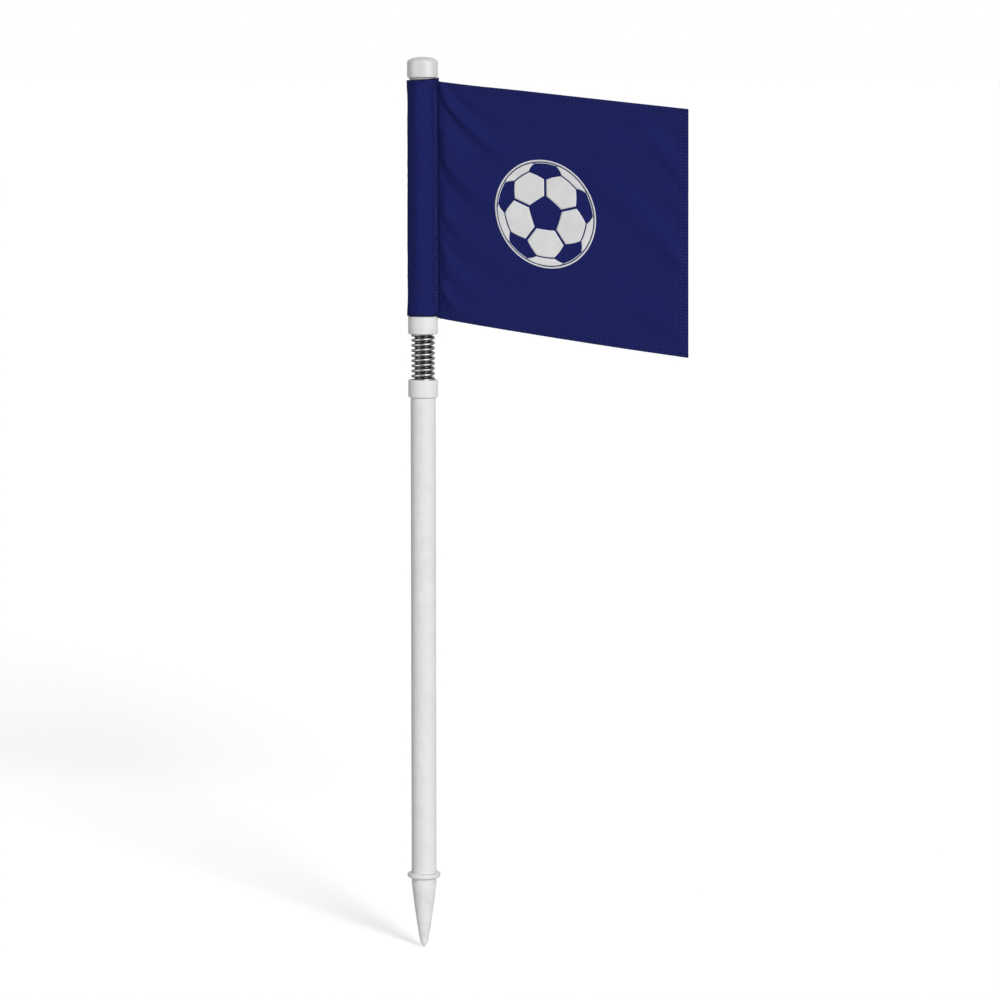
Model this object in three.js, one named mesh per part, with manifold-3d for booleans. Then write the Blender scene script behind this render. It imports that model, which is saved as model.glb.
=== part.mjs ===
// Corner flag of a football pitch: a ground spike, a pole that bends at a coil spring, and a cloth flag.
// Millimetres, +Z up. The origin is on the pole's axis, at turf level, under the stop ring of the spike.
// The flag flies towards +X, and -Y is the face that is looked at.
import * as THREE from "three";
import { mergeVertices } from "three/addons/utils/BufferGeometryUtils.js";
import Module from "manifold-3d";

const wasm = await Module();
wasm.setup();

// Fits that all pieces share
const restGap = 0.3;
const roundSides = 48;

// Pole: one size of pipe, below and above the spring
const poleRadius = 24.15;
const poleWall = 3;
const lowerPoleLength = 945.7;

// Ground spike with its stop ring
const stopRingRadius = 32.1;
const stopRingHeight = 9;
const stopRingFlat = 29;
const spikeLength = 139;
const spikeShoulder = 10;
const spikeNoseLength = 13.7;
const spikeNoseRadius = 8;
const spikeBulge = 1;
const spikeNoseSwell = 1;
const spigotLength = 60;
const spigotChamfer = 3;

// Collars at the two ends of the spring
const collarRadius = 28.6;
const collarLength = 34;
const collarSocket = 20;
const collarRounding = 2.4;
const collarMouthGap = 1;

// Spring
const wireDiameter = 5.8;
const springRadius = 23;
const springShowing = 87.7;
const springActiveTurns = 9;
const springDeadTurns = 1.1;
const springEaseTurns = 0.3;
const springDeadGap = 0.8;
const springMidAngle = 2.2;
const springStepsPerTurn = 20;
const springSides = 8;

// Plugs that carry the ends of the spring
const plugFlange = 3;
const plugShankLength = 40;
const plugShankWall = 3;
const plugStemDepth = 4;
const plugStemChamfer = 2;
const plugNoseLength = 8;
const plugStopLength = 4;
const plugStopInset = 0.6;

// Rubber tube inside the spring
const coreRadius = 15.5;
const coreWall = 4.5;

// Top cap
const capRadius = 29.6;
const capSkirt = 27;
const capDome = 11.8;
const capDomeFullness = 2.3;
const capLipRadius = 26.3;
const capLipHeight = 3.7;
const capRounding = 1.4;
const capSocket = 24;

// Flag: a sleeve round the upper pole and the panel sewn to it
const sleeveHeight = 450;
const sleeveTopGap = 1;
const sleeveBack = 31.3;
const sleeveSide = 27.3;
const sleeveWall = 1;
const sleeveShoulderShare = 0.79;
const sleeveCheekShare = 0.96;
const sleeveCheekDepthShare = 0.18;
const seamStart = 29.2;
const seamWidth = 6.3;
const panelLength = 495.9;
const panelFlyHeight = 465;
const panelTopSag = 52;
const panelBottomBow = 3;
const panelThickness = 1.2;
const hemThickness = 2;
const hemWidth = 14;
const flyHemWidth = 15;
const panelColumns = 28;
const panelRows = 19;

// Folds of the panel
const foldSpacing = 92;
const foldSlope = 1.05;
const foldOffset = 20;
const hoistFoldHeight = 3.4;
const hoistFoldReach = 105;
const foldStart = 30;
const flyFoldHeight = 2.2;
const flyFoldSpacing = 128;
const flyFoldReach = 120;
const flyFoldStart = 45;
const billow = 7;
const creaseHeight = 3.2;
const creaseWidth = 13;
const creaseReach = 95;

// Places that follow from the sizes
const lowerPoleBottom = stopRingHeight + restGap;
const lowerPoleTop = lowerPoleBottom + lowerPoleLength;
const lowerMouth = lowerPoleTop + collarLength - collarSocket;
const springMiddle = lowerMouth + springShowing / 2;
const upperPoleBottom = 2 * springMiddle - lowerPoleTop;
const sleeveBottom = upperPoleBottom + collarSocket + restGap;
const panelLift = sleeveBottom + sleeveHeight;
const capBottom = panelLift + sleeveTopGap;
const upperPoleTop = capBottom + capSocket - restGap;
const upperPoleLength = upperPoleTop - upperPoleBottom;
const boreRadius = poleRadius - poleWall;
const coilRadius = springRadius - wireDiameter / 2;
const springSeat = plugFlange + restGap;
const coreBore = coreRadius - coreWall;
const coreBottom = lowerMouth - plugStemDepth + restGap;
const coreLength = 2 * (springMiddle - coreBottom);
const seamHalf = hemThickness / 2 + restGap;
const seamEnd = seamStart + seamWidth;
const panelStart = seamStart + 2 * restGap;

// Finishes
const whitePlastic = new THREE.MeshStandardMaterial({ color: 0xe9e9e7, roughness: 0.42, metalness: 0 });
const polePlastic = new THREE.MeshStandardMaterial({ color: 0xe2e2e0, roughness: 0.5, metalness: 0 });
const plugPlastic = new THREE.MeshStandardMaterial({ color: 0x55585c, roughness: 0.6, metalness: 0 });
const coreRubber = new THREE.MeshStandardMaterial({ color: 0x141414, roughness: 0.3, metalness: 0 });
const springSteel = new THREE.MeshStandardMaterial({ color: 0x9a9c9f, roughness: 0.28, metalness: 1 });
const navyCloth = new THREE.MeshStandardMaterial({ color: 0x1b2060, roughness: 0.9, metalness: 0 });

function pieceOf(name, geometry, material) {
  const mesh = new THREE.Mesh(geometry, material);
  mesh.name = name;
  return mesh;
}

// A body turned about Z from an outline of [radius, height] points, given upwards on its outside
function turned(outline) {
  const points = outline.map(([radius, height]) => new THREE.Vector2(radius, height));
  return new THREE.LatheGeometry(points, roundSides).rotateX(Math.PI / 2);
}

// Points of a quarter round between two corners of an outline, bulging towards the corner point
function rounding([fromRadius, fromHeight], [cornerRadius, cornerHeight], [toRadius, toHeight], steps = 4) {
  const points = [];
  for (let i = 0; i <= steps; i++) {
    const turn = (i / steps) * (Math.PI / 2);
    const alongFirst = Math.sin(turn);
    const alongSecond = 1 - Math.cos(turn);
    points.push([
      fromRadius + (cornerRadius - fromRadius) * alongFirst + (toRadius - cornerRadius) * alongSecond,
      fromHeight + (cornerHeight - fromHeight) * alongFirst + (toHeight - cornerHeight) * alongSecond,
    ]);
  }
  return points;
}

function solidOf(geometry) {
  const bare = geometry.clone();
  bare.deleteAttribute("normal");
  bare.deleteAttribute("uv");
  const merged = mergeVertices(bare);
  return new wasm.Manifold(
    new wasm.Mesh({
      numProp: 3,
      vertProperties: new Float32Array(merged.attributes.position.array),
      triVerts: new Uint32Array(merged.index.array),
    }),
  );
}

function geometryOf(solid) {
  const mesh = solid.getMesh();
  return new THREE.BufferGeometry()
    .setAttribute("position", new THREE.BufferAttribute(new Float32Array(mesh.vertProperties), 3))
    .setIndex(new THREE.BufferAttribute(new Uint32Array(mesh.triVerts), 1));
}

function tube(inside, outside, length) {
  return turned([
    [inside, 0],
    [outside, 0],
    [outside, length],
    [inside, length],
    [inside, 0],
  ]);
}

// Spike: cone with a swelling side, rounded nose, stop ring flat on its underside, and a spigot for the pole
function spikeOutline() {
  const noseTop = spikeNoseLength - spikeLength;
  const nose = new THREE.QuadraticBezierCurve(
    new THREE.Vector2(0, -spikeLength),
    new THREE.Vector2(spikeNoseRadius / 2 + spikeNoseSwell, spikeNoseLength / 4 - spikeLength),
    new THREE.Vector2(spikeNoseRadius, noseTop),
  );
  const side = new THREE.QuadraticBezierCurve(
    new THREE.Vector2(spikeNoseRadius, noseTop),
    new THREE.Vector2((spikeNoseRadius + poleRadius) / 2 + 2 * spikeBulge, (noseTop - spikeShoulder) / 2),
    new THREE.Vector2(poleRadius, -spikeShoulder),
  );
  const outline = [];
  for (const curve of [nose, side])
    for (const point of curve.getPoints(8)) outline.push([point.x, point.y]);
  outline[0][0] = 0;
  outline.push([poleRadius, 0], [stopRingFlat, 0]);
  const ringSteps = 8;
  for (let i = 1; i < ringSteps; i++) {
    const turn = (i / ringSteps) * Math.PI - Math.PI / 2;
    const reach = Math.cos(turn);
    outline.push([
      stopRingFlat + (stopRingRadius - stopRingFlat) * reach,
      (stopRingHeight / 2) * (1 + Math.sin(turn)),
    ]);
  }
  const spigotRadius = boreRadius - restGap;
  const spigotTop = lowerPoleBottom + spigotLength;
  outline.push(
    [stopRingFlat, stopRingHeight],
    [spigotRadius, stopRingHeight],
    [spigotRadius, spigotTop - spigotChamfer],
    [spigotRadius - spigotChamfer, spigotTop],
    [0, spigotTop],
  );
  return outline;
}

// Collar, standing on the end of the lower pole: its socket takes the pole, its mouth lets the spring out.
// Heights are counted from the pole's end.
function collarGeometry() {
  const bottom = -collarSocket;
  const top = collarLength - collarSocket;
  const socketRadius = poleRadius + restGap;
  const mouthRadius = springRadius + collarMouthGap;
  const socketTop = restGap + plugFlange + restGap;
  return turned([
    [socketRadius, bottom],
    ...rounding(
      [collarRadius - collarRounding, bottom],
      [collarRadius, bottom],
      [collarRadius, bottom + collarRounding],
    ),
    ...rounding(
      [collarRadius, top - collarRounding],
      [collarRadius, top],
      [collarRadius - collarRounding, top],
    ),
    [mouthRadius, top],
    [mouthRadius, socketTop],
    [socketRadius, socketTop],
    [socketRadius, bottom],
  ]);
}

// The spring's middle line. It rises from its closed end turns to the open turns and back, and is the same
// when it is turned end for end about the line at springMidAngle.
function springTurns() {
  return springActiveTurns + 2 * springDeadTurns;
}

function springPath() {
  const turns = springTurns();
  const steps = Math.round(turns * springStepsPerTurn);
  const bottom = lowerPoleTop + restGap + springSeat + wireDiameter / 2;
  const rise = 2 * (springMiddle - bottom);
  const deadPitch = wireDiameter + springDeadGap;
  const openShares = [];
  for (let i = 0; i < steps; i++) {
    const turn = ((i + 1 / 2) / steps) * turns;
    const fromEnd = Math.min(turn, turns - turn);
    openShares.push(THREE.MathUtils.smoothstep(fromEnd, springDeadTurns - springEaseTurns, springDeadTurns + springEaseTurns));
  }
  const openTurns = (openShares.reduce((sum, share) => sum + share, 0) / steps) * turns;
  const openExtra = (rise - deadPitch * turns) / openTurns;
  const path = [];
  let height = bottom;
  for (let i = 0; i <= steps; i++) {
    const angle = springMidAngle + (i / steps - 1 / 2) * turns * 2 * Math.PI;
    const radial = new THREE.Vector3(Math.cos(angle), Math.sin(angle), 0);
    path.push({ radial, point: radial.clone().multiplyScalar(coilRadius).setZ(height) });
    if (i < steps) height += (deadPitch + openExtra * openShares[i]) * (turns / steps);
  }
  return path;
}

// Wire: an eight-sided tube along the path, with a straight level end of one wire's width at both ends
function springGeometry() {
  const path = springPath();
  const first = path[0];
  const last = path[path.length - 1];
  const up = new THREE.Vector3(0, 0, 1);
  const tail = (end, along) => ({
    radial: end.radial,
    point: end.point.clone().addScaledVector(new THREE.Vector3().crossVectors(up, end.radial), along),
  });
  const stations = [tail(first, -wireDiameter), ...path, tail(last, wireDiameter)];
  const positions = [];
  const faces = [];
  stations.forEach(({ radial, point }, i) => {
    const ends = i === 0 || i === stations.length - 1;
    const before = stations[Math.max(i - 1, 0)].point;
    const after = stations[Math.min(i + 1, stations.length - 1)].point;
    const along = ends ? new THREE.Vector3().crossVectors(up, radial) : after.clone().sub(before).normalize();
    const across = new THREE.Vector3().crossVectors(along, radial).normalize();
    for (let side = 0; side < springSides; side++) {
      const turn = (side / springSides) * 2 * Math.PI;
      const vertex = point
        .clone()
        .addScaledVector(radial, (Math.cos(turn) * wireDiameter) / 2)
        .addScaledVector(across, (Math.sin(turn) * wireDiameter) / 2);
      positions.push(vertex.x, vertex.y, vertex.z);
    }
  });
  for (let i = 0; i + 1 < stations.length; i++)
    for (let side = 0; side < springSides; side++) {
      const here = i * springSides + side;
      const beside = i * springSides + ((side + 1) % springSides);
      faces.push(here, beside, here + springSides, beside, beside + springSides, here + springSides);
    }
  const lastRing = (stations.length - 1) * springSides;
  for (let side = 1; side + 1 < springSides; side++) {
    faces.push(0, side + 1, side);
    faces.push(lastRing, lastRing + side, lastRing + side + 1);
  }
  console.log("spring: least gap to itself " + leastSelfGap(stations).toFixed(2) + " mm");
  return new THREE.BufferGeometry()
    .setAttribute("position", new THREE.Float32BufferAttribute(positions, 3))
    .setIndex(faces);
}

// The least way between points of the wire's line that are over half a turn apart, less the wire
function leastSelfGap(stations) {
  let least = Infinity;
  const apart = Math.round(springStepsPerTurn / 2);
  for (let i = 0; i < stations.length; i++)
    for (let j = i + apart; j < stations.length; j++)
      least = Math.min(least, stations[i].point.distanceTo(stations[j].point));
  return least - wireDiameter;
}

// Plug: a hollow shank glued in the pole, a flange on the pole's end, a stem inside the end turns of the
// spring, a nose inside the rubber tube, and a stop that the wire's end meets. Heights are counted from
// the pole's end.
function plugGeometry(startAngle) {
  const stemRadius = springRadius - wireDiameter - restGap;
  const shankRadius = boreRadius - restGap;
  const flangeTop = restGap + plugFlange;
  const stemTop = collarLength - collarSocket - plugStemDepth;
  const noseRadius = coreBore - restGap;
  const noseTop = stemTop + plugNoseLength;
  const body = turned([
    [0, restGap],
    [shankRadius - plugShankWall, restGap],
    [shankRadius - plugShankWall, -plugShankLength],
    [shankRadius, -plugShankLength],
    [shankRadius, restGap],
    [poleRadius, restGap],
    [poleRadius, flangeTop],
    [stemRadius, flangeTop],
    [stemRadius, stemTop - plugStemChamfer],
    [stemRadius - plugStemChamfer, stemTop],
    [noseRadius, stemTop],
    [noseRadius, noseTop - plugStemChamfer],
    [noseRadius - plugStemChamfer, noseTop],
    [0, noseTop],
  ]);
  const stopHeight = wireDiameter - restGap;
  const stopBox = new THREE.BoxGeometry(springRadius, plugStopLength, stopHeight + plugFlange / 2);
  stopBox.translate(
    springRadius / 2,
    -(wireDiameter + restGap + plugStopLength / 2),
    flangeTop + (stopHeight - plugFlange / 2) / 2,
  );
  stopBox.rotateZ(startAngle);
  const reach = turned([
    [0, restGap],
    [springRadius + plugStopInset, restGap],
    [springRadius + plugStopInset, collarLength],
    [0, collarLength],
  ]);
  return geometryOf(solidOf(body).add(solidOf(stopBox).intersect(solidOf(reach))));
}

// Cap: domed top, straight skirt, a narrower lip below it, and a socket for the pole's end
function capGeometry() {
  const socketRadius = poleRadius + restGap;
  const skirtBottom = capLipHeight;
  const skirtTop = capLipHeight + capSkirt;
  const outline = [
    [socketRadius, 0],
    [capLipRadius, 0],
    [capLipRadius, skirtBottom],
    ...rounding(
      [capRadius - capRounding, skirtBottom],
      [capRadius, skirtBottom],
      [capRadius, skirtBottom + capRounding],
    ),
  ];
  const domeSteps = 10;
  for (let i = 0; i <= domeSteps; i++) {
    const turn = (i / domeSteps) * (Math.PI / 2);
    const outwards = Math.cos(turn) ** (2 / capDomeFullness);
    const upwards = Math.sin(turn) ** (2 / capDomeFullness);
    outline.push([i < domeSteps ? capRadius * outwards : 0, skirtTop + capDome * upwards]);
  }
  outline.push([0, capSocket], [socketRadius, capSocket], [socketRadius, 0]);
  return turned(outline);
}

// Sleeve: a loop of cloth round the pole. Its two edges lie against each other as a flat seam, which takes
// the panel's edge between them.
function sleeveGeometry() {
  const shape = new THREE.Shape();
  const cheek = (side, half) => [
    [0, side],
    [seamStart * sleeveShoulderShare, side],
    [seamStart * sleeveCheekShare, half + side * sleeveCheekDepthShare],
    [seamStart, half],
  ];
  const outerSide = sleeveSide;
  const outerHalf = seamHalf + sleeveWall;
  const innerSide = sleeveSide - sleeveWall;
  const outerCheek = cheek(outerSide, outerHalf);
  const innerCheek = cheek(innerSide, seamHalf);
  const curveTo = (points, mirror) =>
    shape.bezierCurveTo(...points.flatMap(([x, y]) => [x, y * mirror]));
  shape.moveTo(seamEnd, -outerHalf);
  shape.lineTo(seamStart, -outerHalf);
  curveTo(outerCheek.slice(0, 3).reverse(), -1);
  shape.absellipse(0, 0, sleeveBack, outerSide, -Math.PI / 2, Math.PI / 2, true);
  curveTo(outerCheek.slice(1), 1);
  shape.lineTo(seamEnd, outerHalf);
  shape.lineTo(seamEnd, seamHalf);
  shape.lineTo(seamStart, seamHalf);
  curveTo(innerCheek.slice(0, 3).reverse(), 1);
  shape.absellipse(0, 0, sleeveBack - sleeveWall, innerSide, Math.PI / 2, -Math.PI / 2, false);
  curveTo(innerCheek.slice(1), -1);
  shape.lineTo(seamEnd, -seamHalf);
  shape.closePath();
  return new THREE.ExtrudeGeometry(shape, { depth: sleeveHeight, bevelEnabled: false, curveSegments: 10 });
}

// How far the cloth stands out of its plane at a distance from the seam and a depth under its top edge
function foldOut(fromSeam, depth) {
  const toFly = panelLength - fromSeam;
  const hoistWave = Math.sin(((depth - foldSlope * fromSeam - foldOffset) / foldSpacing) * 2 * Math.PI);
  const flyWave = Math.sin(((depth - foldSlope * fromSeam) / flyFoldSpacing) * 2 * Math.PI);
  const loosening = THREE.MathUtils.smoothstep(fromSeam, seamWidth, foldStart);
  const slackening = THREE.MathUtils.smoothstep(toFly, 0, flyFoldStart);
  const hoistFolds = hoistFoldHeight * hoistWave * Math.exp(-((fromSeam / hoistFoldReach) ** 2));
  const flyFolds = flyFoldHeight * flyWave * Math.exp(-((toFly / flyFoldReach) ** 2));
  const creaseAside = (depth - foldSlope * fromSeam) / creaseWidth;
  const crease = creaseHeight * Math.exp(-(creaseAside ** 2)) * Math.exp(-((fromSeam / creaseReach) ** 2));
  const free = Math.max(fromSeam - seamWidth, 0);
  const swell = billow * Math.sin((free / (panelLength - seamWidth)) * Math.PI);
  return loosening * (hoistFolds + crease) + slackening * flyFolds - swell;
}

// Places of the grid's lines from one edge to the other, with a line at the inner edge of each hem or seam
function gridLines(length, count, firstHem, lastHem) {
  const lines = [0, firstHem];
  const inner = count - lines.length - 1;
  for (let i = 1; i <= inner; i++)
    lines.push(firstHem + ((length - firstHem - lastHem) * i) / inner);
  lines.push(length);
  return lines;
}

// Panel: cloth with a folded hem along the top, the bottom and the fly, sagging from the seam
function panelGeometry() {
  const across = gridLines(panelLength, panelColumns, seamWidth, flyHemWidth);
  const down = gridLines(sleeveHeight, panelRows, hemWidth, hemWidth);
  const positions = [];
  const sides = [-1, 1];
  for (const side of sides)
    for (const fromSeam of across)
      for (const onHoist of down) {
        const alongShare = fromSeam / panelLength;
        const bow = panelBottomBow * 4 * alongShare * (1 - alongShare);
        const height = sleeveHeight + (panelFlyHeight - sleeveHeight) * alongShare + bow;
        const depth = height * (onHoist / sleeveHeight);
        const inHem =
          onHoist <= hemWidth || onHoist >= sleeveHeight - hemWidth || fromSeam >= panelLength - flyHemWidth;
        const thickness = inHem ? hemThickness : panelThickness;
        positions.push(
          panelStart + fromSeam,
          foldOut(fromSeam, depth) + (side * thickness) / 2,
          panelLift - panelTopSag * alongShare - depth,
        );
      }
  const columns = across.length;
  const rows = down.length;
  const at = (layer, column, row) => (layer * columns + column) * rows + row;
  const faces = [];
  const quad = (a, b, c, d) => faces.push(a, b, c, a, c, d);
  for (let column = 0; column + 1 < columns; column++)
    for (let row = 0; row + 1 < rows; row++) {
      quad(at(0, column, row), at(0, column, row + 1), at(0, column + 1, row + 1), at(0, column + 1, row));
      quad(at(1, column, row), at(1, column + 1, row), at(1, column + 1, row + 1), at(1, column, row + 1));
    }
  for (let column = 0; column + 1 < columns; column++) {
    const last = rows - 1;
    quad(at(0, column, 0), at(0, column + 1, 0), at(1, column + 1, 0), at(1, column, 0));
    quad(at(0, column, last), at(1, column, last), at(1, column + 1, last), at(0, column + 1, last));
  }
  for (let row = 0; row + 1 < rows; row++) {
    const last = columns - 1;
    quad(at(0, 0, row), at(1, 0, row), at(1, 0, row + 1), at(0, 0, row + 1));
    quad(at(0, last, row), at(0, last, row + 1), at(1, last, row + 1), at(1, last, row));
  }
  return new THREE.BufferGeometry()
    .setAttribute("position", new THREE.Float32BufferAttribute(positions, 3))
    .setIndex(faces);
}

const cornerFlag = new THREE.Group();

cornerFlag.add(pieceOf("ground_spike", turned(spikeOutline()), whitePlastic));

const lowerPole = pieceOf("lower_pole", tube(boreRadius, poleRadius, lowerPoleLength), polePlastic);
lowerPole.position.z = lowerPoleBottom;
cornerFlag.add(lowerPole);

// Both ends of the spring are alike: the upper one is the lower one turned end for end
const wireStartAngle = springMidAngle - springTurns() * Math.PI;
function springEnd(whichEnd) {
  const end = new THREE.Group();
  end.add(pieceOf(whichEnd + "_spring_plug", plugGeometry(wireStartAngle), plugPlastic));
  end.add(pieceOf(whichEnd + "_collar", collarGeometry(), whitePlastic));
  return end;
}
const lowerEnd = springEnd("lower");
lowerEnd.position.z = lowerPoleTop;
cornerFlag.add(lowerEnd);

cornerFlag.add(pieceOf("spring", springGeometry(), springSteel));

const core = pieceOf("spring_core", tube(coreBore, coreRadius, coreLength), coreRubber);
core.position.z = coreBottom;
cornerFlag.add(core);

const upperEnd = springEnd("upper");
upperEnd.position.z = upperPoleBottom;
const turningLine = new THREE.Vector3(Math.cos(springMidAngle), Math.sin(springMidAngle), 0);
upperEnd.quaternion.setFromAxisAngle(turningLine, Math.PI);
cornerFlag.add(upperEnd);

const upperPole = pieceOf("upper_pole", tube(boreRadius, poleRadius, upperPoleLength), polePlastic);
upperPole.position.z = upperPoleBottom;
cornerFlag.add(upperPole);

const sleeve = pieceOf("flag_sleeve", sleeveGeometry(), navyCloth);
sleeve.position.z = sleeveBottom;
cornerFlag.add(sleeve);
cornerFlag.add(pieceOf("flag_panel", panelGeometry(), navyCloth));

const cap = pieceOf("top_cap", capGeometry(), whitePlastic);
cap.position.z = capBottom;
cornerFlag.add(cap);

export default cornerFlag;
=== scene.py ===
import math

import bmesh
import bpy
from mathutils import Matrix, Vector, noise


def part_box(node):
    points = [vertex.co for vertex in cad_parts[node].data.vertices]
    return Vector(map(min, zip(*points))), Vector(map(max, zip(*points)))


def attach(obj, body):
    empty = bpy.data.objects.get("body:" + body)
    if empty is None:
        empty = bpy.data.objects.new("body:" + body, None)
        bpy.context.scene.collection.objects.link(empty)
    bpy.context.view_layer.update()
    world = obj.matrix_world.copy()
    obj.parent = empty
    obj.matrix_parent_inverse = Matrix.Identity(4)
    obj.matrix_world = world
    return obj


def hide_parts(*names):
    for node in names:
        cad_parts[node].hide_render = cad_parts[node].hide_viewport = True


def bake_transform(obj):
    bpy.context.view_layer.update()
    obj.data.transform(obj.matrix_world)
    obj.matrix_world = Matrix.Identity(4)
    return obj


# Corner flag of a football pitch, built up from the spike in the turf to the cap and the cloth.
# Metres, +Z up, turf at zero. The flag flies towards +X, and its front looks towards -Y.
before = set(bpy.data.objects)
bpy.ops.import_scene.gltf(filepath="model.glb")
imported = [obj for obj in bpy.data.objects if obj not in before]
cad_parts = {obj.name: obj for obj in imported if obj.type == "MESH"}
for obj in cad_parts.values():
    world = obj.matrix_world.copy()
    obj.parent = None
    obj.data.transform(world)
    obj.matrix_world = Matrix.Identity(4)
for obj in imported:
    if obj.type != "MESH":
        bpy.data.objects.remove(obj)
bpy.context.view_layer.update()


# Ground spike: one white moulding with a tapered point, a rounded stop ring and a spigot.
# It is pushed into the turf until the flat underside of the ring stops it, and the pole is glued on
# to the spigot. Moulded plastic, so it has a satin skin, soft edges and the grey scuffs of the soil.
def with_settings(thing, **settings):
    for setting, value in settings.items():
        setattr(thing, setting, value)
    return thing


def linked_object(name, data):
    made = bpy.data.objects.new(name, data)
    bpy.context.collection.objects.link(made)
    return made


def made_piece(name, mesh, material, crease=None):
    """A smooth object of one finish, with a crease wherever it turns by more than so many degrees."""
    data = bpy.data.meshes.new(name)
    mesh.to_mesh(data)
    mesh.free()
    data.shade_smooth()
    if crease:
        data.set_sharp_from_angle(angle=math.radians(crease))
    data.materials.append(material)
    return linked_object(name, data)


def turned_piece(name, outline, material, sides=128, crease=None):
    """A closed body turned about the pole's axis from (radius, height) points."""
    mesh = bmesh.new()
    turned_map = mesh.loops.layers.uv.new("turned")
    turns = [2 * math.pi * i / sides for i in range(sides)]
    rings = []
    for radius, height in outline:
        spots = [(radius * math.cos(turn), radius * math.sin(turn), height) for turn in turns]
        if radius < 1e-7:
            spots = [(0, 0, height)]
        rings.append([mesh.verts.new(spot) for spot in spots])
    reach = [0.0]
    for before, after in zip(outline, outline[1:] + outline[:1]):
        reach.append(reach[-1] + math.dist(before, after))
    closed = len(rings[0]) > 1 and len(rings[-1]) > 1
    pairs = list(zip(rings, rings[1:])) + ([(rings[-1], rings[0])] if closed else [])
    for step, (low, high) in enumerate(pairs):
        if len(low) == len(high) == 1:
            continue
        for i in range(sides):
            corners = {}
            for aside, above in ((0, 0), (1, 0), (1, 1), (0, 1)):
                ring = (low, high)[above]
                corners[ring[(i + aside) % len(ring)]] = ((i + aside) / sides, reach[step + above])
            for loop in mesh.faces.new(corners).loops:
                loop[turned_map].uv = corners[loop.vert]
    bmesh.ops.recalc_face_normals(mesh, faces=mesh.faces)
    return made_piece(name, mesh, material, crease)


def weighted(weights, places):
    return tuple(sum(weight * place[axis] for weight, place in zip(weights, places)) for axis in (0, 1))


def bent_line(start, control, end, steps):
    """Points of a smooth outline from start to end that leans towards control."""
    points = []
    for i in range(steps + 1):
        t = i / steps
        points.append(weighted(((1 - t) ** 2, 2 * t * (1 - t), t * t), (start, control, end)))
    return points


def give(node, sockets):
    """Sets a node's inputs to numbers or colours, or links them to the outputs of other nodes."""
    for name, value in sockets.items():
        if isinstance(value, bpy.types.NodeSocket):
            node.id_data.links.new(value, node.inputs[name])
        else:
            node.inputs[name].default_value = value


def add_node(tree, kind, sockets, output, **settings):
    made = with_settings(tree.nodes.new(f"ShaderNode{kind}"), **settings)
    give(made, sockets)
    return made.outputs[output]


def uneven(tree, place, scale, detail, roughness=0.5):
    sockets = {"Vector": place, "Scale": scale, "Detail": detail, "Roughness": roughness}
    return add_node(tree, "TexNoise", sockets, "Fac")


def ramped(tree, value, first, *between_and_last):
    """A colour that follows a value through stops, each a place and a colour."""
    made = tree.nodes.new("ShaderNodeValToRGB")
    marks = made.color_ramp.elements
    *between, last = between_and_last
    for mark, (place, colour) in zip(marks, (first, last)):
        mark.position = place
        mark.color = (*colour, 1)
    for place, colour in between:
        marks.new(place).color = (*colour, 1)
    give(made, {"Fac": value})
    return made.outputs["Color"]


def mixed(tree, share, first, second, blend="MIX"):
    sockets = {0: share, 6: first, 7: second}
    return add_node(tree, "Mix", sockets, 2, data_type="RGBA", blend_type=blend)


def spread(tree, value, low, high, start=0.0, end=1.0):
    """A value that runs from start to end, taken to the range from low to high."""
    sockets = {"Value": value, "From Min": start, "From Max": end, "To Min": low, "To Max": high}
    return add_node(tree, "MapRange", sockets, "Result")


def bumped(tree, height, strength, distance):
    sockets = {"Height": height, "Strength": strength, "Distance": distance}
    return add_node(tree, "Bump", sockets, "Normal")


def object_place(tree):
    return add_node(tree, "TexCoord", {}, "Object")


def stretched(tree, place, stretch):
    return add_node(tree, "Mapping", {"Vector": place, "Scale": stretch}, "Vector")


def bare_finish(name):
    material = bpy.data.materials.new(name)
    material.use_nodes = True
    return material, material.node_tree, material.node_tree.nodes["Principled BSDF"]


def satin_plastic(name, clean, dull, soil, roughness, drawn=1.0, shine=0.05, smudge=0.2):
    """Satin plastic: a cloudy tone, scuffs and smudges of soil, and fine lines along the pole where drawn."""
    material, tree, shader = bare_finish(name)
    everywhere = object_place(tree)
    lengthwise = stretched(tree, everywhere, (1, 1, 1 / drawn))
    tone = ramped(tree, uneven(tree, everywhere, scale=22, detail=4), (0.35, dull), (0.65, clean))
    scuffs = uneven(tree, lengthwise, scale=150, detail=6, roughness=0.65)
    scuffed = ramped(tree, scuffs, (0.60, (0, 0, 0)), (0.74, (0.5, 0.5, 0.5)))
    smudges = uneven(tree, everywhere, scale=48, detail=3, roughness=0.55)
    smudged = ramped(tree, smudges, (0.48, (0, 0, 0)), (0.72, (smudge, smudge, smudge)))
    worn = mixed(tree, scuffed, tone, (*soil, 1))
    grain = uneven(tree, lengthwise, scale=420, detail=3)
    look = {
        "Base Color": mixed(tree, smudged, worn, (*soil, 1)),
        "Specular IOR Level": shine,
        "Roughness": spread(tree, scuffs, roughness - 0.07, roughness + 0.09),
        "Normal": bumped(tree, grain, strength=0.12, distance=0.0004),
    }
    give(shader, look)
    return material


spike_low, spike_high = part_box("ground_spike")
lower_pole_low, lower_pole_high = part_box("lower_pole")
glue_gap = 0.0003
pole_radius, pole_wall = lower_pole_high.x, 0.003
bore_radius = pole_radius - pole_wall
spigot_radius, spigot_chamfer = bore_radius - glue_gap, 0.003
ring_radius, ring_rounding, ring_steps = spike_high.x, 0.0031, 16
ring_top = lower_pole_low.z - glue_gap
spike_shoulder, taper_belly, root_fillet = -0.010, 0.002, 0.0006
nose_radius, nose_height, nose_belly, nose_rise = 0.008, 0.0137, 0.001, 0.0034
nose_top = spike_low.z + nose_height

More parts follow.
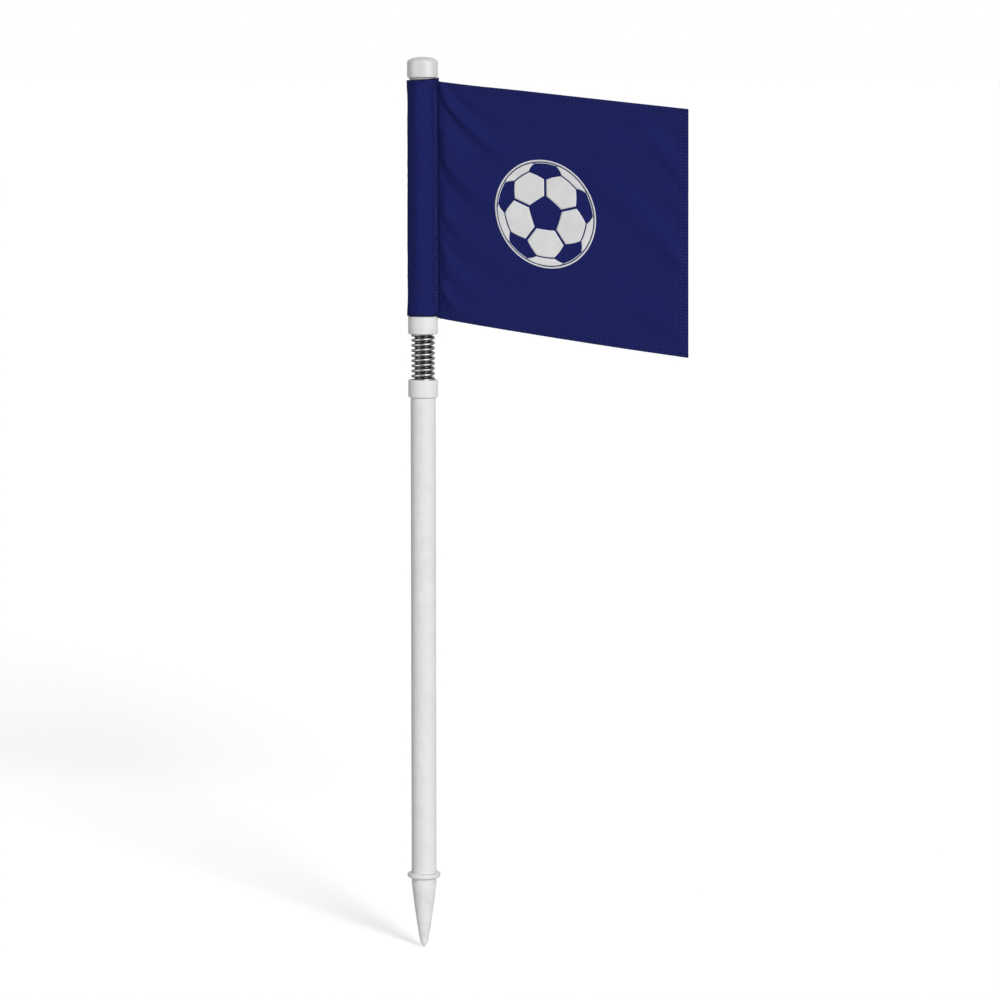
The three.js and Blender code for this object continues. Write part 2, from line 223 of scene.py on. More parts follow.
spike_outline = bent_line(
    (0, spike_low.z), (nose_radius / 2 + nose_belly, spike_low.z + nose_rise), (nose_radius, nose_top), 14
)
spike_outline += bent_line(
    (nose_radius, nose_top),
    ((nose_radius + pole_radius) / 2 + taper_belly, (nose_top + spike_shoulder) / 2),
    (pole_radius, spike_shoulder),
    24,
)[1:]
spike_outline += [(pole_radius, -root_fillet), (pole_radius + root_fillet, 0)]
for step in range(ring_steps + 1):
    turn = math.pi * step / ring_steps - math.pi / 2
    rounded = ring_rounding * (1 - math.cos(turn))
    spike_outline.append((ring_radius - rounded, ring_top / 2 * (1 + math.sin(turn))))
spike_outline += [(spigot_radius, ring_top), (spigot_radius, spike_high.z - spigot_chamfer)]
spike_outline += [(spigot_radius - spigot_chamfer, spike_high.z), (0, spike_high.z)]
spike_soil = (0.48, 0.475, 0.465)
spike_white = satin_plastic(
    "soiled white plastic", (0.805, 0.805, 0.80), (0.745, 0.745, 0.74), spike_soil, 0.42, smudge=0.36
)
ground_spike = turned_piece("ground_spike_moulding", spike_outline, spike_white)
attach(ground_spike, "post")
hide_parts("ground_spike")


# Lower pole: a length of white plastic pipe, 48 mm across with a 3 mm wall, cut square at both ends.
# It is drawn through a die, which leaves fine lines along it, and it is glued to the spigot below and
# to the plug and the collar above.
pipe_white = satin_plastic(
    "drawn white pipe", (0.775, 0.775, 0.77), (0.735, 0.735, 0.73), (0.61, 0.60, 0.58), 0.46, drawn=9
)


def pipe_piece(name, low, high, body, stands_for):
    outline = [(bore_radius, low), (pole_radius, low), (pole_radius, high), (bore_radius, high)]
    pipe = turned_piece(name, outline, pipe_white)
    with_settings(
        pipe.modifiers.new("softened corners", "BEVEL"),
        width=0.0004,
        segments=3,
        limit_method="ANGLE",
        angle_limit=math.radians(35),
        harden_normals=True,
    )
    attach(pipe, body)
    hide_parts(stands_for)
    return pipe


pipe_piece("lower_pole_pipe", lower_pole_low.z, lower_pole_high.z, "post", "lower_pole")


# Lower plug and collar: the plug is a dark moulding glued in the pipe's end, and the spring's end turns
# grip its stem. The collar is a white ring glued round the pipe, which hides the end of the spring.
moulded_white = satin_plastic(
    "moulded white plastic", (0.785, 0.785, 0.78), (0.735, 0.735, 0.73), (0.60, 0.60, 0.58), 0.42
)
plug_dark = satin_plastic(
    "dark grey plug plastic", (0.10, 0.105, 0.11), (0.075, 0.08, 0.085), (0.16, 0.16, 0.155), 0.5
)
pole_socket = pole_radius + glue_gap
collar_rounding, collar_seat, collar_mouth, mouth_chamfer = 0.0024, 0.0236, 0.024, 0.0008


def rounded_corner(radius, level, inwards, rounding, steps=6):
    """Points from the flat end at a level round to the side. Inwards is 1 for upwards, -1 for downwards."""
    points = []
    for i in range(steps + 1):
        turn = i / steps * math.pi / 2
        aside, along = rounding * (1 - math.sin(turn)), rounding * (1 - math.cos(turn))
        points.append((radius - aside, level + inwards * along))
    return points


def collar_piece(name, node, opens_up, body):
    """A collar, drawn from the pipe's side to the spring's side, so that one outline serves both ways up."""
    low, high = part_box(node)
    outwards = 1 if opens_up else -1
    pipe_side, spring_side = (low.z, high.z) if opens_up else (high.z, low.z)
    seat = pipe_side + outwards * collar_seat
    outline = [(pole_socket, pipe_side)]
    outline += rounded_corner(high.x, pipe_side, outwards, collar_rounding)
    outline += reversed(rounded_corner(high.x, spring_side, -outwards, collar_rounding))
    outline.append((collar_mouth + mouth_chamfer, spring_side))
    outline.append((collar_mouth, spring_side - outwards * mouth_chamfer))
    outline += [(collar_mouth, seat), (pole_socket, seat)]
    collar = turned_piece(name, outline, moulded_white)
    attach(collar, body)
    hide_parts(node)
    return collar


def finish_cad(node, material):
    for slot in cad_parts[node].material_slots:
        slot.material = material


collar_piece("lower_collar_ring", "lower_collar", True, "post")
finish_cad("lower_spring_plug", plug_dark)


# Spring core: a black rubber tube inside the coil, pushed over the stems of the two plugs. It steadies the
# spring, and keeps grit and fingers out of it. It is made in two halves that meet in the middle.
core_low, core_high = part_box("spring_core")
core_swell, core_wall, core_steps = 0.0009, 0.0045, 24
core_radius = core_high.x + core_swell
lower_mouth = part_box("lower_collar")[1].z
upper_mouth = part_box("upper_collar")[0].z
spring_middle = (lower_mouth + upper_mouth) / 2
hidden_grip = 0.006
spring_halves = (
    ("lower", "post", "spring", lower_mouth - hidden_grip, spring_middle),
    ("upper", "spring", "mast", spring_middle, upper_mouth + hidden_grip),
)


def map_place(tree, name):
    return add_node(tree, "UVMap", {}, "UV", uv_map=name)


def black_rubber():
    """Black rubber with a wet-looking skin, fine drag lines round it and a little grey bloom."""
    material, tree, shader = bare_finish("black rubber tube")
    round_tube = stretched(tree, map_place(tree, "turned"), (0.1, 1, 1))
    bloom = uneven(tree, round_tube, scale=90, detail=4, roughness=0.6)
    lines = uneven(tree, round_tube, scale=700, detail=2)
    look = {
        "Base Color": ramped(tree, bloom, (0.45, (0.002, 0.002, 0.002)), (0.75, (0.006, 0.006, 0.006))),
        "Specular IOR Level": 0.22,
        "Roughness": spread(tree, bloom, 0.14, 0.30),
        "Normal": bumped(tree, lines, strength=0.1, distance=0.0002),
    }
    give(shader, look)
    return material


core_rubber = black_rubber()
for side, first_body, second_body, start, end in spring_halves:
    bottom, top = (core_low.z, spring_middle) if side == "lower" else (spring_middle, core_high.z)
    heights = [bottom + (top - bottom) * i / core_steps for i in range(core_steps + 1)]
    outline = [(core_radius, height) for height in heights]
    outline += [(core_radius - core_wall, height) for height in reversed(heights)]
    core_half = turned_piece(f"spring_core_{side}_half", outline, core_rubber, sides=64, crease=50)
    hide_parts("spring_core")
    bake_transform(core_half)


# Spring: one right-handed coil of hard steel wire, 5.8 mm thick, with nine open turns that show and a
# closed turn in each collar. It lets the flag bend over and stand up again. Its outer crest keeps the bright
# tone of the steel, and painted shade, with some grease, darkens its underside and the inside of the coil.
wire_diameter, wire_sides = 0.0058, 16
spring_radius = 0.023
coil_radius = spring_radius - wire_diameter / 2
active_turns, dead_turns, ease_turns, dead_gap = 9, 1.1, 0.3, 0.0008
spring_mid_angle = 2.2
steps_per_turn = 48
plug_flange = 0.003
spring_bottom = lower_pole_high.z + 2 * glue_gap + plug_flange + wire_diameter / 2


def smooth_share(value, low, high):
    t = min(max((value - low) / (high - low), 0), 1)
    return t * t * (3 - 2 * t)


def spring_line():
    """Pairs of the outward direction and the place, along the middle of the wire."""
    turns = active_turns + 2 * dead_turns
    steps = 2 * round(turns * steps_per_turn / 2)
    rise = 2 * (spring_middle - spring_bottom)
    dead_pitch = wire_diameter + dead_gap
    open_shares = []
    for i in range(steps):
        turn = (i + 0.5) / steps * turns
        from_end = min(turn, turns - turn)
        open_shares.append(smooth_share(from_end, dead_turns - ease_turns, dead_turns + ease_turns))
    open_extra = (rise - dead_pitch * turns) / (sum(open_shares) / steps * turns)
    line, height = [], spring_bottom
    for i in range(steps + 1):
        angle = spring_mid_angle + (i / steps - 0.5) * turns * 2 * math.pi
        outward = Vector((math.cos(angle), math.sin(angle), 0))
        line.append((outward, outward * coil_radius + Vector((0, 0, height))))
        if i < steps:
            height += (dead_pitch + open_extra * open_shares[i]) * turns / steps
    return line


def wire_piece(name, stations, material):
    """A closed round wire through the stations. Its map runs round it from its outer crest, and along it."""
    mesh = bmesh.new()
    wire_map = mesh.loops.layers.uv.new("wire")
    rings, reach = [], [0.0]
    for before, after in zip(stations, stations[1:]):
        reach.append(reach[-1] + (after[2] - before[2]).length)
    for outward, along, place in stations:
        across = along.cross(outward).normalized()
        ring = []
        for side in range(wire_sides):
            turn = 2 * math.pi * side / wire_sides
            offset = outward * math.cos(turn) + across * math.sin(turn)
            ring.append(mesh.verts.new(place + offset * wire_diameter / 2))
        rings.append(ring)
    for step, (low, high) in enumerate(zip(rings, rings[1:])):
        for side in range(wire_sides):
            beside = (side + 1) % wire_sides
            face = mesh.faces.new((low[side], low[beside], high[beside], high[side]))
            for loop, (turned, level) in zip(face.loops, ((0, 0), (1, 0), (1, 1), (0, 1))):
                loop[wire_map].uv = ((side + turned) / wire_sides, reach[step + level])
    mesh.faces.new(rings[0])
    mesh.faces.new(rings[-1])
    bmesh.ops.recalc_face_normals(mesh, faces=mesh.faces)
    return made_piece(name, mesh, material, crease=50)


# colour of the crest, and darker tones at shares of the way round the wire: painted shade with some grease
wire_crest = (0.15, 0.15, 0.146)
wire_shade_tones = ((0.06, 0.15), (0.14, 0.06), (0.22, 0.010), (0.68, 0.010), (0.78, 0.09), (0.88, 0.16))


def number(tree, operation, *values):
    return add_node(tree, "Math", dict(enumerate(values)), "Value", operation=operation)


def spring_steel():
    """Bright drawn steel: a bright crest, painted shade with some grease on the underside and inside, fine
    lines.
    """
    material, tree, shader = bare_finish("drawn spring steel")
    flat = map_place(tree, "wire")
    along_wire = stretched(tree, flat, (0.02, 0.3, 1))
    patches = uneven(tree, along_wire, scale=300, detail=4, roughness=0.6)
    lines = uneven(tree, along_wire, scale=2500, detail=2)
    round_wire = add_node(tree, "SeparateXYZ", {"Vector": flat}, "X")
    wander = 0.10
    shifted = number(tree, "MULTIPLY_ADD", patches, wander, round_wire)
    shifted = number(tree, "SUBTRACT", shifted, wander / 2)
    tones = [(share, (tone, tone, tone * 0.97)) for share, tone in wire_shade_tones]
    # painted shade with some grease: the wire is darkened round its underside and inside, the crest stays
    # bright
    grease_and_painted_shade = ramped(tree, shifted, (0, wire_crest), *tones, (1, wire_crest))
    drawn = ramped(tree, lines, (0.3, (0.82, 0.82, 0.82)), (0.7, (1, 1, 1)))
    look = {
        "Base Color": mixed(tree, 1.0, grease_and_painted_shade, drawn, blend="MULTIPLY"),
        "Metallic": 1.0,
        "Roughness": spread(tree, patches, 0.26, 0.38),
        "Normal": bumped(tree, lines, strength=0.15, distance=0.0002),
    }
    give(shader, look)
    return material


up = Vector((0, 0, 1))
wire_line = spring_line()
wire_stations = []
for i, (outward, place) in enumerate(wire_line):
    before = wire_line[max(i - 1, 0)][1]
    after = wire_line[min(i + 1, len(wire_line) - 1)][1]
    wire_stations.append((outward, (after - before).normalized(), place))
first_outward, first_place = wire_line[0]
last_outward, last_place = wire_line[-1]
first_along, last_along = up.cross(first_outward), up.cross(last_outward)
wire_stations.insert(0, (first_outward, first_along, first_place - first_along * wire_diameter))
wire_stations.append((last_outward, last_along, last_place + last_along * wire_diameter))
middle_station = len(wire_stations) // 2
wire_shares = {"lower": wire_stations[: middle_station + 1], "upper": wire_stations[middle_station:]}

steel = spring_steel()
for side, first_body, second_body, start, end in spring_halves:
    wire_half = wire_piece(f"spring_{side}_half", wire_shares[side], steel)
    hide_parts("spring")
    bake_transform(wire_half)


# Upper plug and collar: the same two mouldings as below, turned end for end, on the end of the upper
# pole. The cloth's sleeve stands on the rim of this collar.
collar_piece("upper_collar_ring", "upper_collar", False, "mast")
finish_cad("upper_spring_plug", plug_dark)


# Upper pole: the same pipe as the lower pole, about half a metre of it, hidden inside the sleeve. It
# is glued to the plug and the collar below, and it carries the cap.
upper_pole_low, upper_pole_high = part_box("upper_pole")
pipe_piece("upper_pole_pipe", upper_pole_low.z, upper_pole_high.z, "mast", "upper_pole")


# Top cap: a white moulding with a domed top and a straight skirt, pushed over the pipe's end. A narrower
# lip below the skirt keeps the sleeve from riding up.
cap_low, cap_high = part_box("top_cap")
cap_lip_radius, cap_lip_height, cap_lip_chamfer = 0.0263, 0.0037, 0.0005
cap_dome, cap_fullness, cap_rounding, dome_steps = 0.0118, 2.3, 0.0014, 32
cap_shoulder = cap_high.z - cap_dome
skirt_bottom = cap_low.z + cap_lip_height
cap_roof = upper_pole_high.z + glue_gap

cap_outline = [(pole_socket, cap_low.z), (cap_lip_radius - cap_lip_chamfer, cap_low.z)]
cap_outline += [(cap_lip_radius, cap_low.z + cap_lip_chamfer), (cap_lip_radius, skirt_bottom)]
cap_outline += rounded_corner(cap_high.x, skirt_bottom, 1, cap_rounding)
for step in range(dome_steps + 1):
    turn = step / dome_steps * math.pi / 2
    across, rise = math.cos(turn) ** (2 / cap_fullness), math.sin(turn) ** (2 / cap_fullness)
    cap_outline.append((cap_high.x * across, cap_shoulder + cap_dome * rise))
cap_outline += [(0, cap_roof), (pole_socket, cap_roof)]
cap_white = satin_plastic(
    "cap white plastic", (0.700, 0.695, 0.697), (0.665, 0.660, 0.662), (0.57, 0.57, 0.56), 0.27, shine=0.14
)
top_cap = turned_piece("top_cap_moulding", cap_outline, cap_white)
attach(top_cap, "mast")
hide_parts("top_cap")


# Flag sleeve: a strip of navy polyester folded into a loop round the upper pole. Its two edges lie on both
# faces of the panel and are sewn through in one row. It hangs a little askew, so that the seam stands up
# beside the cap and hangs lower at the collar, and its loose ends flare.
sleeve_low, sleeve_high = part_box("flag_sleeve")
stitch_pitch, thread_pitch = 0.0060, 0.0006
# sizes of the painted shade in each needle hole, in squared stitch pitches
needle_hole, hole_rim = 0.020, 0.078
# the painted shade along a piece's upper and lower edges is full to the first depth and gone by the second
edge_shade_start, edge_shade_end = 0.0016, 0.0024
band_at_scale_one = 0.314


def darker(colour, share):
    return (*(value * share for value in colour), 1)


def woven_polyester(name, light, dark, rows=(), edge_shade_height=None):
    """Plain weave: crossed threads, a soft cloudy tone, a dull sheen, and painted shade in each needle hole
    of sewn rows.

    A row is "U" or "V" for the way it runs over the cloth's map, and its place across that. The last
    argument is the height of a piece whose upper and lower edges get a thin band of painted shade.
    """
    material, tree, shader = bare_finish(name)
    flat = map_place(tree, "cloth")
    threads = []
    for way in ("X", "Y"):
        wave = {"Vector": flat, "Scale": band_at_scale_one / thread_pitch, "Distortion": 0.6, "Detail": 1}
        threads.append(add_node(tree, "TexWave", wave, "Fac", wave_type="BANDS", bands_direction=way))
    weave = number(tree, "MULTIPLY", *threads)
    clouds = uneven(tree, flat, scale=24, detail=5, roughness=0.55)
    tone = ramped(tree, clouds, (0.32, dark), (0.68, light))
    shaded = ramped(tree, weave, (0.0, (0.88, 0.88, 0.89)), (0.5, (1.06, 1.06, 1.05)))
    tinted = mixed(tree, 1.0, tone, shaded, blend="MULTIPLY")
    if rows:
        along, down = (add_node(tree, "SeparateXYZ", {"Vector": flat}, axis) for axis in ("X", "Y"))
        across, to_hole = {"U": down, "V": along}, {}
        for way, running in (("U", along), ("V", down)):
            to_hole[way] = number(tree, "PINGPONG", number(tree, "MULTIPLY", running, 1 / stitch_pitch), 0.5)
        hole_shade = 0.0
        for way, position in rows:
            off_row = number(tree, "MULTIPLY_ADD", across[way], 1 / stitch_pitch, -position / stitch_pitch)
            along_square = number(tree, "POWER", to_hole[way], 2.0)
            off_square = number(tree, "MULTIPLY", off_row, off_row)
            spot = number(tree, "ADD", along_square, off_square)
            hole_shade = number(tree, "MAXIMUM", spread(tree, spot, 1.0, 0.0, needle_hole, hole_rim), hole_shade)
        # painted shade: each needle hole along a sewn row is darkened, as shade falls into its pit
        tinted = mixed(tree, hole_shade, tinted, darker(dark, 0.25))
    # a thin band of painted shade along the piece's upper and lower edges
    if edge_shade_height:
        from_edge = number(tree, "PINGPONG", down, edge_shade_height / 2)
        edge_shade = spread(tree, from_edge, 1.0, 0.0, edge_shade_start, edge_shade_end)
        tinted = mixed(tree, edge_shade, tinted, darker(dark, 0.35))
    look = {
        "Base Color": tinted,
        "Roughness": 0.85,
        "Specular IOR Level": 0.01,
        "Sheen Weight": 0.008,
        "Sheen Roughness": 0.5,
        "Normal": bumped(tree, weave, strength=0.25, distance=0.0002),
    }
    give(shader, look)
    return material


navy_light, navy_dark = (0.0135, 0.0186, 0.1195), (0.0124, 0.0172, 0.1115)
sleeve_cloth, ripple_room = 0.0009, 0.0017
sleeve_back = -sleeve_low.x - ripple_room - sleeve_cloth / 2
sleeve_side = sleeve_high.y - sleeve_cloth / 2
sleeve_height = sleeve_high.z - sleeve_low.z
tab_start, tab_end, tab_lift, tab_curl = 0.0254, 0.0310, 0.0013, 0.0010
throat, throat_lean = (0.0262, 0.0115), 0.0225


def sleeve_outline(steps):
    """Points of the loop from the tab's end on the front face, round the back, to the tab's end behind."""
    half = [(tab_end, tab_lift * 0.8), (tab_end - tab_curl, tab_lift), ((tab_start + tab_end) / 2, tab_lift)]
    ends = ((tab_start, tab_lift), throat, (throat_lean, sleeve_side), (0, sleeve_side))
    for i in range(steps + 1):
        t = i / steps
        half.append(weighted(((1 - t) ** 3, 3 * t * (1 - t) ** 2, 3 * t * t * (1 - t), t**3), ends))
    for i in range(1, steps + 1):
        turn = math.pi / 2 * (1 + i / steps)
        half.append((sleeve_back * math.cos(turn), sleeve_side * math.sin(turn)))
    return [(x, -y) for x, y in half] + [(x, y) for x, y in reversed(half[:-1])]


sleeve_points = sleeve_outline(24)
sleeve_lengths = [0.0]
for before, after in zip(sleeve_points, sleeve_points[1:]):
    sleeve_lengths.append(sleeve_lengths[-1] + math.dist(before, after))
sleeve_girth = sleeve_lengths[-1]
seam_inset, sleeve_hem_seam = 0.0003, 0.0034
tab_seam = tab_end - tab_start - seam_inset
stitch_dip, stitch_dip_width = 0.00018, 0.0008
top_flare, bottom_flare, top_flare_reach, bottom_flare_reach = 0.0009, 0.0012, 0.040, 0.030
wave_height, crinkle_height, back_calm = 0.0013, 0.0012, 0.65
ridge_height, ridge_place, ridge_width, back_ridge_share = 0.0013, -0.001, 0.007, 0.4
pucker_height, pucker_reach, pinch_height = 0.0030, 0.015, 0.0006
top_askew, top_drop, seam_hang, rim_stand, seam_lean = 0.0036, 0.0005, 0.0030, 0.0007, 0.0019
top_aside, bottom_aside = 0.0017, 0.0010
rim_radius, rim_clearance, rim_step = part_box("upper_collar")[1].x + 0.0003, 0.0010, 0.0018
loop_inside = 0.006


def bell(off, width):
    """One in the middle, fading to nothing over about two widths."""
    return math.exp(-((off / width) ** 2))


def ruffle(along, down, seed, waves_along, waves_down, slant_along=0, slant_down=0):
    """Smooth unevenness between about -1 and 1, with so many waves to a metre, which the slants turn."""
    place = (along * waves_along + down * slant_along, down * waves_down + along * slant_down, seed)
    return noise.noise(Vector(place))


def sleeve_swell(x, y, along, height):
    """How far the cloth stands off its loop: flared ends, ripples, and puckers and pinches at the seam."""
    from_seam = min(along, sleeve_girth - along)
    from_top = sleeve_height - height
    past_seam = from_seam - tab_seam
    flare = top_flare * (1 - smooth_share(from_top, 0, top_flare_reach))
    flare += bottom_flare * (1 - smooth_share(height, 0, bottom_flare_reach))
    flare *= smooth_share(past_seam, -0.001, 0.005)
    loose = smooth_share(from_seam, 0.008, 0.030) * (1 - back_calm * smooth_share(-x, 0.010, 0.026))
    ripple = wave_height * loose * ruffle(along, height, 3.1, 55, 7)
    ripple += crinkle_height * loose * ruffle(along, height, 6.4, 70, 75, slant_down=-50)
    ripple += ridge_height * bell(x - ridge_place, ridge_width) * (1 if y < 0 else back_ridge_share)
    near_seam = smooth_share(past_seam, -0.0005, 0.004) * bell(past_seam, pucker_reach)
    pucker = pucker_height * near_seam * ruffle(along, height, 7.7, 45, 150, slant_down=90)
    pucker -= pinch_height * near_seam * abs(math.sin(height * 31 + 1.1 * math.sin(height * 17)))
    from_hem_seam = min(height, from_top) - sleeve_hem_seam
    sewn_in = stitch_dip * (bell(past_seam, stitch_dip_width) + bell(from_hem_seam, stitch_dip_width))
    return flare + ripple + pucker - sewn_in


def sleeve_place(along, height, out=0.0):
    """The place of a spot: along the loop from the front tab, at a height, and off the cloth's middle."""
    index = 0
    while index < len(sleeve_lengths) - 2 and sleeve_lengths[index + 1] < along:
        index += 1
    t = (along - sleeve_lengths[index]) / (sleeve_lengths[index + 1] - sleeve_lengths[index])
    (x0, y0), (x1, y1) = sleeve_points[index], sleeve_points[index + 1]
    x, y = x0 + (x1 - x0) * t, y0 + (y1 - y0) * t
    outward = Vector((y0 - y1, x1 - x0, 0)).normalized()
    if outward.dot(Vector((x - loop_inside, y, 0))) < 0:
        outward.negate()
    from_top = sleeve_height - height
    aside = top_aside * (1 - smooth_share(from_top, 0.004, 0.020))
    aside += bottom_aside * (1 - smooth_share(height, 0.004, 0.020))
    aside += seam_lean * from_top / sleeve_height
    aside *= smooth_share(x, 0.011, tab_start)
    top = top_askew * (max(x + sleeve_back, 0) / (tab_start + sleeve_back)) ** 3 - top_drop
    past_rim = smooth_share(x + seam_lean + rim_clearance, rim_radius, rim_radius + rim_step)
    bottom = rim_stand * (1 - past_rim) - seam_hang * past_rim
    level = height + bottom + (top - bottom) * height / sleeve_height
    return Vector((x + aside, y, sleeve_low.z + level)) + outward * (out + sleeve_swell(x, y, along, height))


def grid_places(length, count, close):
    """Even places along a length, and close ones where the cloth bends."""
    even = [length * i / count for i in range(count + 1)]
    return sorted({round(place, 6) for place in even + close})


def cloth_piece(name, across, down, layers, material):
    """Cloth over a grid of flat places, which are its map: one layer, or a front and a back that meet."""
    mesh = bmesh.new()
    cloth_map = mesh.loops.layers.uv.new("cloth")
    grids = [[[mesh.verts.new(place(a, d)) for d in down] for a in across] for place in layers]

    def add(*corners):
        face = mesh.faces.new([grids[layer][column][row] for layer, column, row in corners])
        for loop, (layer, column, row) in zip(face.loops, corners):
            loop[cloth_map].uv = (across[column], down[row])

    closed = len(layers) > 1
    right, foot = len(across) - 1, len(down) - 1
    for i in range(right):
        for k in range(foot):
            add((0, i, k), (0, i, k + 1), (0, i + 1, k + 1), (0, i + 1, k))
            if closed:
                add((1, i, k), (1, i + 1, k), (1, i + 1, k + 1), (1, i, k + 1))
        if closed:
            add((0, i, 0), (0, i + 1, 0), (1, i + 1, 0), (1, i, 0))
            add((0, i, foot), (1, i, foot), (1, i + 1, foot), (0, i + 1, foot))
    if closed:
        for k in range(foot):
            add((0, 0, k), (1, 0, k), (1, 0, k + 1), (0, 0, k + 1))
            add((0, right, k), (0, right, k + 1), (1, right, k + 1), (1, right, k))
    return made_piece(name, mesh, material)


def beside_seams(seams):
    shifts = (-0.0018, -0.0009, -0.0004, 0, 0.0004, 0.0009, 0.0018)
    return [seam + shift for seam in seams for shift in shifts]


sleeve_seams = (tab_seam, sleeve_girth - tab_seam)
sleeve_end_seams = (sleeve_hem_seam, sleeve_height - sleeve_hem_seam)
sleeve_navy = woven_polyester(
    "navy sleeve polyester",
    navy_light,
    navy_dark,
    rows=[("V", seam) for seam in sleeve_seams] + [("U", seam) for seam in sleeve_end_seams],
    edge_shade_height=sleeve_height,
)
flag_sleeve = cloth_piece(
    "flag_sleeve_cloth",
    grid_places(sleeve_girth, 150, beside_seams(sleeve_seams)),
    grid_places(sleeve_height, 240, beside_seams(sleeve_end_seams)),
    [sleeve_place],
    sleeve_navy,
)
with_settings(flag_sleeve.modifiers.new("cloth thickness", "SOLIDIFY"), thickness=sleeve_cloth, offset=0)
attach(flag_sleeve, "flag")
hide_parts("flag_sleeve")


# Flag panel: one piece of the same cloth. Its top, bottom and fly edges are turned in and sewn down with
# two rows each, and its fourth edge is sewn between the sleeve's edges. It is held along the seam and
# hangs free from there, so its own weight draws slanting folds out of the seam.
seam_x, fly_proud, hoist_drop, hoist_extra, fly_height = tab_start, 0.0017, 0.0017, 0.0011, 0.465
panel_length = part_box("flag_panel")[1].x + fly_proud - seam_x
hoist_top = sleeve_high.z - hoist_drop
hoist_height = sleeve_height + hoist_extra
top_sag, bottom_bow = 0.0516, 0.0018
top_dip, dip_place, dip_width = 0.0009, 0.08, 0.06
rim_lift, rim_lift_height = 0.0031, 0.030
cloth_thickness, hem_thickness = 0.0007, 0.0015
edge_rounding, edge_share, row_dip, row_dip_width = 0.0011, 0.25, 0.00014, 0.0008
hem_width, hem_rows = 0.0140, (0.0033, 0.0125)
fly_hem_width, fly_hem_rows = 0.0168, (0.0045, 0.0152)
between_tabs = tab_end - tab_start

# each fold of the seam: depth on the hoist, slope there, reach of that slope, width above and below its
# crest, height, and reach of the fold
seam_folds = (
    (-0.002, 0.55, 0.300, 0.016, 0.008, 0.0020, 0.12),
    (0.0045, 1.40, 0.130, 0.018, 0.0125, 0.0080, 0.13),
    (0.107, 2.00, 0.065, 0.070, 0.026, 0.0090, 0.11),
    (0.207, 1.90, 0.075, 0.042, 0.040, 0.0062, 0.11),
    (0.304, 1.75, 0.070, 0.030, 0.024, 0.0068, 0.11),
    (0.375, 1.60, 0.050, 0.026, 0.020, 0.0082, 0.11),
)
# each fold of the fly: depth at the fly edge, slope, width above and below, height and reach
fly_folds = (
    (0.138, 1.00, 0.030, 0.020, 0.0044, 0.11),
    (0.204, 0.85, 0.020, 0.012, 0.0020, 0.07),
    (0.294, 0.80, 0.035, 0.025, 0.0060, 0.15),
    (0.427, 0.45, 0.025, 0.018, 0.0038, 0.11),
)
panel_belly, waver_height = 0.007, 0.0014
roll_height, roll_reach = 0.0027, 0.10
streak_height, streak_reach, streak_fall, streak_bend = 0.0024, 0.075, 0.11, 0.065
seam_pucker_height, seam_pucker_reach = 0.0013, 0.018


def fold_crest(below, width_above, width_below):
    return bell(below, width_below if below > 0 else width_above)


def fold_out(from_seam, depth):
    """How far the cloth stands in front of its plane."""
    free = from_seam - between_tabs
    to_fly = panel_length - from_seam
    forward = panel_belly * math.sin(math.pi * from_seam / panel_length)
    for start, slope, bend, above, below, height, reach in seam_folds:
        line = start + slope * bend * (1 - math.exp(-from_seam / bend))
        fading = bell(from_seam, reach) * smooth_share(free, 0, 0.020)
        forward += height * fold_crest(depth - line, above, below) * fading
    for start, slope, above, below, height, reach in fly_folds:
        fading = bell(to_fly, reach) * smooth_share(to_fly, 0, 0.024)
        forward += height * fold_crest(depth - start + slope * to_fly, above, below) * fading
    settled = smooth_share(free, 0.002, 0.030) * smooth_share(to_fly, 0, 0.030)
    forward += waver_height * settled * ruffle(from_seam, depth, 5.5, 10, 13, slant_along=4, slant_down=-6)
    forward += roll_height * smooth_share(free, -0.0003, 0.0044) * bell(from_seam, roll_reach)
    drawn = depth - streak_fall * (1 - math.exp(-from_seam / streak_bend))
    streaks = streak_height * smooth_share(free, 0, 0.012) * bell(from_seam, streak_reach)
    forward += streaks * ruffle(from_seam, drawn, 9.1, 9, 50)
    pucker = seam_pucker_height * smooth_share(free, 0, 0.004) * bell(free, seam_pucker_reach)
    return forward + pucker * ruffle(from_seam, depth, 2.2, 40, 85, slant_down=-60)


def panel_place(from_seam, on_hoist, out=0.0):
    """The place of a spot of the panel: from the seam, down the hoist, and off the cloth's middle."""
    share = from_seam / panel_length
    dip = top_dip * bell(from_seam - dip_place, dip_width)
    height = hoist_height + (fly_height - hoist_height) * share + 4 * bottom_bow * share * (1 - share) - dip
    depth = height * on_hoist / hoist_height
    step = 0.001
    slope_along = (fold_out(from_seam + step, depth) - fold_out(from_seam - step, depth)) / (2 * step)
    slope_down = (fold_out(from_seam, depth + step) - fold_out(from_seam, depth - step)) / (2 * step)
    backward = Vector((slope_along, 1, -slope_down)).normalized()
    over_rim = 1 - smooth_share(from_seam, 0.0022, 0.0040)
    over_rim *= smooth_share(on_hoist, hoist_height - rim_lift_height, hoist_height)
    level = hoist_top - top_sag * share - dip - depth + rim_lift * over_rim
    leaning = (seam_lean + 0.0003 * share) * on_hoist / hoist_height
    return Vector((seam_x + from_seam + leaning, -fold_out(from_seam, depth), level)) + backward * out


